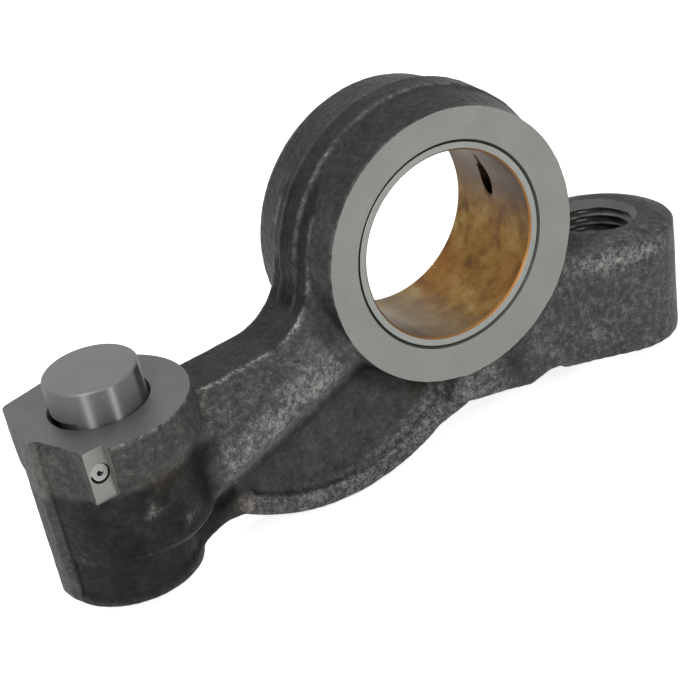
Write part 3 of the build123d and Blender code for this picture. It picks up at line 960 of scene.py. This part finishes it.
# ---------------------------------------------------------------- materials
def forged_skin():
    """Dark shot-blasted forging: granular, with edge wear, and with painted light, shade
    and highlights where the zones say so.
    """
    made, kit, shader = material("forged_skin")
    speck = kit.noise(3100, 2.5, 0.6)
    pebble = kit.noise(1000, 2.0, 0.6)
    blotch = kit.noise(330, 5.0, 0.65)
    grit = kit.attribute("grit")
    mixed = kit.line(speck, 0.5, kit.line(pebble, 0.37, kit.math("MULTIPLY", blotch, 0.13)))
    soft = kit.line(blotch, 0.45, kit.math("MULTIPLY", pebble, 0.55))

    # Dark ground, more mottled with more grit
    dark = kit.ramp(
        soft,
        [
            (0.34, (0.027, 0.028, 0.028)),
            (0.5, (0.039, 0.040, 0.039)),
            (0.66, (0.055, 0.055, 0.053)),
        ],
    )
    grain = kit.ramp(mixed, [(0.4, 0.65), (0.6, 1.35)])
    mottled = kit.mix(1.0, dark, grain, "MULTIPLY")
    skin = kit.mix(kit.line(grit, 0.7, 0.25), dark, mottled)

    # Light grains, more and brighter with more grit
    above = kit.math("SUBTRACT", mixed, kit.line(grit, -0.22, 0.63))
    light = kit.clamp(kit.math("MULTIPLY", above, 3.2))
    light = kit.math("MULTIPLY", light, kit.line(grit, 0.65, 0.35))
    skin = kit.mix(light, skin, (0.185, 0.182, 0.171))

    # Tone: random variation, and the zones' painted light and shade
    skin = kit.mix(1.0, skin, kit.attribute("tone"), "MULTIPLY")
    brown = kit.mix(1.0, skin, (1.25, 1.0, 0.72), "MULTIPLY")
    skin = kit.mix(kit.math("MINIMUM", kit.attribute("rust"), 1.0), skin, brown)
    # Light grey for edge wear, and a painted highlight on the rims of the boss and the hub
    flecks = kit.math("MULTIPLY", kit.math("SUBTRACT", mixed, 0.38), 4.5)
    flecks = kit.clamp(kit.math("MULTIPLY", kit.attribute("wear_and_glint"), flecks))
    skin = kit.mix(flecks, skin, (0.27, 0.265, 0.25))
    kit.feed(shader.inputs["Base Color"], skin)
    shader.inputs["Metallic"].default_value = 0.35
    shader.inputs["Specular IOR Level"].default_value = 0.1
    kit.feed(shader.inputs["Roughness"], kit.ramp(speck, [(0.35, 0.62), (0.65, 0.46)]))

    # Blasted relief, and cutter chatter round the shaft where the flash was ground
    x, _, z = kit.split(kit.place())
    waves = kit.math("SINE", kit.math("MULTIPLY", kit.math("ARCTAN2", z, x), CHATTER_WAVES))
    chatter = kit.math("MULTIPLY", waves, kit.attribute("chatter"))
    normal = kit.bump(kit.line(chatter, CHATTER_SHARE, pebble), 0.36 * MM, 0.7)
    normal = kit.bump(speck, 0.16 * MM, 0.6, normal)
    kit.feed(shader.inputs["Normal"], normal)
    return made


def ground_face():
    """Fine-ground hub face: even matt grey."""
    made, kit, shader = material("ground_face")
    patch = kit.noise(110, 3.0)
    fine = kit.noise(3500, 3.0)
    tone = kit.ramp(patch, [(0.3, (0.190, 0.195, 0.179)), (0.7, (0.219, 0.223, 0.204))])
    grain = kit.ramp(fine, [(0.3, 0.94), (0.7, 1.06)])
    kit.feed(shader.inputs["Base Color"], kit.mix(1.0, tone, grain, "MULTIPLY"))
    shader.inputs["Metallic"].default_value = 0.4
    kit.feed(shader.inputs["Roughness"], kit.ramp(patch, [(0.3, 0.5), (0.7, 0.56)]))
    kit.feed(shader.inputs["Normal"], kit.bump(fine, 0.015 * MM, 0.5))
    return made


def plain_metal(name, colour, metallic, roughness, grain=0.02 * MM, spread=0.06):
    """Machined steel with a faint grain."""
    made, kit, shader = material(name)
    patch = kit.noise(200, 4.0)
    fine = kit.noise(3000, 3.0)
    low = tuple(part * (1 - spread) for part in colour)
    high = tuple(part * (1 + spread) for part in colour)
    kit.feed(shader.inputs["Base Color"], kit.ramp(patch, [(0.35, low), (0.65, high)]))
    shader.inputs["Metallic"].default_value = metallic
    rough = kit.ramp(patch, [(0.3, roughness), (0.7, roughness + 0.06)])
    kit.feed(shader.inputs["Roughness"], rough)
    kit.feed(shader.inputs["Normal"], kit.bump(fine, grain, 0.6))
    return made


def satin_steel():
    """Plunger: satin ground steel, whose lights spread along its axis."""
    made, kit, shader = material("satin_steel")
    patch = kit.noise(160, 4.0)
    fine = kit.noise(3500, 3.0)
    tone = kit.ramp(patch, [(0.35, (0.148, 0.151, 0.151)), (0.65, (0.168, 0.168, 0.162))])
    kit.feed(shader.inputs["Base Color"], tone)
    shader.inputs["Metallic"].default_value = 0.9
    kit.feed(shader.inputs["Roughness"], kit.ramp(patch, [(0.3, 0.36), (0.7, 0.41)]))
    # Only the side has grinding lines: the crowned top is plain
    facing = kit.split(kit.new("ShaderNodeNewGeometry").outputs["True Normal"])
    sideways = kit.math("LESS_THAN", kit.math("ABSOLUTE", facing[2]), 0.5)
    kit.feed(shader.inputs["Anisotropic"], sideways)
    shader.inputs["Anisotropic Rotation"].default_value = 0.25
    grinding = kit.new("ShaderNodeTangent")
    grinding.direction_type = "RADIAL"
    grinding.axis = "Z"
    kit.feed(shader.inputs["Tangent"], grinding.outputs["Tangent"])
    kit.feed(shader.inputs["Normal"], kit.bump(fine, 0.01 * MM, 0.5))
    return made


def stained_lining(kit, turn, stain):
    """Bronze with orange stains low on the adjuster's side, painted shade over the upper
    part of the bore and at its lowest, and painted light low down.
    """
    bronze = kit.ramp(
        kit.noise(190, 5.0, 0.62),
        [
            (0.36, (0.115, 0.052, 0.009)),
            (0.46, (0.19, 0.096, 0.016)),
            (0.56, (0.25, 0.155, 0.036)),
            (0.66, (0.34, 0.27, 0.13)),
        ],
    )
    low_side = kit.math("ABSOLUTE", kit.math("ADD", turn, 0.85))
    low_side = kit.clamp(kit.line(low_side, -1.1, 1.0), 0.25, 0.85)
    orange = kit.math("MULTIPLY", kit.ramp(stain, [(0.42, 0.0), (0.62, 1.0)]), low_side)
    lining = kit.mix(orange, bronze, (0.23, 0.088, 0.010))
    # Painted shade over the upper part, painted light low down and painted shade at the
    # lowest: slope and start of the rise round the bore, most of it, and its colour
    for slope, start, most, colour in (
        (1.8, -0.45, 0.95, (0.066, 0.037, 0.018)),
        (-1.8, -1.35, 0.6, (0.19, 0.145, 0.085)),
        (-6.0, -2.0, 0.75, (0.07, 0.045, 0.025)),
    ):
        light_and_shade = kit.math("MULTIPLY", kit.math("SUBTRACT", turn, start), slope)
        light_and_shade = kit.clamp(light_and_shade, 0.0, most)
        light_and_shade = kit.math("MULTIPLY", light_and_shade, kit.math("ADD", stain, 0.5))
        lining = kit.mix(light_and_shade, lining, colour)
    return lining


def bush_metal():
    """Steel back, painted shade in the gap round its outer edge, and a stained bronze
    lining inside.
    """
    made, kit, shader = material("bush_metal")
    x, y, z = kit.split(kit.place())
    across = kit.math("ABSOLUTE", y)
    squares = kit.math("ADD", kit.math("MULTIPLY", x, x), kit.math("MULTIPLY", z, z))
    reach = kit.math("SQRT", squares)
    stain = kit.noise(95, 3.0, 0.55)
    lining = stained_lining(kit, kit.math("ARCTAN2", z, x), stain)

    lined = kit.math("LESS_THAN", reach, LINING_RADIUS)
    between_ends = kit.math("LESS_THAN", across, BUSH_END - LINING_LAND)
    lip = kit.math("GREATER_THAN", across, BUSH_END - LINING_LIP)
    lip = kit.math("MULTIPLY", kit.math("MULTIPLY", lined, lip), 0.8)
    lining = kit.mix(lip, lining, (0.26, 0.115, 0.03))
    # Darker in the groove, where it is deeper than this
    dark_groove = kit.math("GREATER_THAN", reach, BORE_RADIUS + DARK_GROOVE_DEPTH)
    dark_groove = kit.math("MULTIPLY", dark_groove, between_ends)
    lining = kit.mix(dark_groove, lining, (0.035, 0.018, 0.01))
    steel = kit.ramp(stain, [(0.3, (0.216, 0.221, 0.206)), (0.7, (0.240, 0.245, 0.227))])
    colour = kit.mix(lined, steel, lining)
    # Painted shade in the gap between the bush's outer edge and the hub's seat
    gap_shade = kit.math("GREATER_THAN", reach, BUSH_SEAT_RADIUS - GAP_SHADE_WIDTH)
    colour = kit.mix(gap_shade, colour, (0.012, 0.012, 0.012))
    colour = kit.mix(between_ends, colour, lining)
    kit.feed(shader.inputs["Base Color"], colour)
    shader.inputs["Metallic"].default_value = 0.8
    rough = kit.ramp(kit.noise(190, 5.0, 0.62), [(0.3, 0.48), (0.7, 0.38)])
    kit.feed(shader.inputs["Roughness"], rough)
    kit.feed(shader.inputs["Normal"], kit.bump(kit.noise(900, 4.0), 0.03 * MM, 0.5))
    return made


def dress(obj, *materials):
    """Gives an object these materials and no others."""
    obj.data.materials.clear()
    for made in materials:
        obj.data.materials.append(made)


# ---------------------------------------------------------------- camera, light and floor
def add_camera():
    """Camera with the photograph's place, tilt and lens."""
    level = Vector((cos(AZIMUTH), -sin(AZIMUTH), 0))
    outwards = Vector((-sin(AZIMUTH), -cos(AZIMUTH), 0))
    back = outwards * cos(ELEVATION) + Vector((0, 0, sin(ELEVATION)))
    above = back.cross(level)
    right = level * cos(ROLL) + above * sin(ROLL)
    up = above * cos(ROLL) - level * sin(ROLL)
    data = bpy.data.cameras.new("camera")
    data.sensor_width = SENSOR_MM
    data.lens = SENSOR_MM * FOCAL_PX / FRAME_PX
    data.shift_x = (FRAME_PX / 2 - OPTICAL_AXIS_PX[0]) / FRAME_PX
    data.shift_y = (OPTICAL_AXIS_PX[1] - FRAME_PX / 2) / FRAME_PX
    data.clip_start = CLIP_START
    camera = bpy.data.objects.new("camera", data)
    bpy.context.scene.collection.objects.link(camera)
    eye = back * EYE_OFFSET.z - right * EYE_OFFSET.x - up * EYE_OFFSET.y
    turn = Matrix((right, up, back)).transposed().to_4x4()
    camera.matrix_world = Matrix.Translation(eye) @ turn
    bpy.context.scene.camera = camera


def area_light(name, place, target, size, power):
    """Softbox at place, aimed at target."""
    data = bpy.data.lights.new(name, "AREA")
    data.shape = "RECTANGLE"
    data.size, data.size_y = size
    data.energy = power
    light = bpy.data.objects.new(name, data)
    light.location = place
    aim = Vector(target) - Vector(place)
    light.rotation_euler = aim.to_track_quat("-Z", "Y").to_euler()
    bpy.context.scene.collection.objects.link(light)


def seen_directly(kit):
    """1 for rays from the camera, from gloss and through glass, 0 for all other light."""
    path = kit.new("ShaderNodeLightPath")
    seen = path.outputs["Is Camera Ray"]
    for kind in ("Is Glossy Ray", "Is Transmission Ray"):
        seen = kit.math("MAXIMUM", seen, path.outputs[kind])
    return seen


def add_world():
    """Even studio light, with a white background for the camera and for gloss."""
    world = bpy.data.worlds.new("studio")
    bpy.context.scene.world = world
    world.use_nodes = True
    kit = Nodes(world.node_tree)
    light = kit.nodes["Background"]
    light.inputs["Color"].default_value = (1, 1, 1, 1)
    light.inputs["Strength"].default_value = WORLD_LEVEL
    white = kit.new("ShaderNodeBackground")
    white.inputs["Color"].default_value = (1, 1, 1, 1)
    chooser = kit.new("ShaderNodeMixShader")
    for socket, value in zip(
        chooser.inputs, (seen_directly(kit), light.outputs[0], white.outputs[0])
    ):
        kit.feed(socket, value)
    kit.feed(kit.nodes["World Output"].inputs["Surface"], chooser.outputs[0])


def add_floor():
    """Pale table that the part stands on: plain white, with the part's soft shadow."""
    level = cad_bounds[0][2] - FLOOR_GAP
    corners = [(-1, -1), (1, -1), (1, 1), (-1, 1)]
    verts = [(x * FLOOR_REACH, y * FLOOR_REACH, level) for x, y in corners]
    floor = new_object("floor", verts, [(0, 1, 2, 3)])
    made, kit, shader = material("floor_white")
    shader.inputs["Base Color"].default_value = (0.8, 0.8, 0.8, 1)
    shader.inputs["Roughness"].default_value = 0.9
    shader.inputs["Specular IOR Level"].default_value = 0.0
    glow = kit.new("ShaderNodeEmission")
    strength = kit.math("MULTIPLY", seen_directly(kit), FLOOR_GLOW)
    kit.feed(glow.inputs["Strength"], strength)
    total = kit.new("ShaderNodeAddShader")
    kit.feed(total.inputs[0], shader.outputs[0])
    kit.feed(total.inputs[1], glow.outputs[0])
    # Clear from below, so that the part's underside can be looked at
    one_sided = kit.new("ShaderNodeMixShader")
    below = kit.new("ShaderNodeNewGeometry").outputs["Backfacing"]
    clear = kit.new("ShaderNodeBsdfTransparent").outputs[0]
    for socket, value in zip(one_sided.inputs, (below, total.outputs[0], clear)):
        kit.feed(socket, value)
    kit.feed(kit.nodes["Material Output"].inputs["Surface"], one_sided.outputs[0])
    dress(floor, made)


# ---------------------------------------------------------------- build the pieces
forging = forged_blank()
modified(forging, "REMESH", mode="VOXEL", voxel_size=VOXEL)
soften(forging)
roughen(forging)
machine(forging)
paint_zones(forging)
# In the order of FORGED to SPOT_FACED
dress(
    forging,
    forged_skin(),
    ground_face(),
    # Near black: painted shade in the bush seat's chamfer and down the bores and the pin
    # hole
    plain_metal("bored_wall", (0.03, 0.03, 0.029), 0.5, 0.45),
    plain_metal("boss_top", (0.108, 0.112, 0.109), 0.5, 0.45),
    plain_metal("thread_wall", (0.10, 0.10, 0.095), 0.7, 0.4),
    plain_metal("spot_face", (0.185, 0.185, 0.172), 0.5, 0.4, 0.03 * MM, 0.15),
)
sort_surfaces(forging)
finish_mesh(forging, 40)
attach(forging, "arm")
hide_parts("rocker_body")

bush = bush_mesh()
for start, end, lead in ((PORT_START, PORT_END, 0.25), (FEED_START, FEED_END, 0.08)):
    cut(bush, cylinder("tool", start + (start - end) * lead, end, DRILL_RADIUS))
dress(bush, bush_metal())
finish_mesh(bush, 30)
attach(bush, "arm")
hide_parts("shaft_bush")

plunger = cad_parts["plunger"]
dress(plunger, satin_steel())

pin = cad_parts["retaining_pin"]
dress(pin, plain_metal("spring_steel", (0.3, 0.3, 0.29), 0.8, 0.4))

add_camera()
add_world()
add_floor()
for softbox in SOFTBOXES:
    area_light(*softbox)

bpy.context.scene.view_settings.view_transform = "Standard"
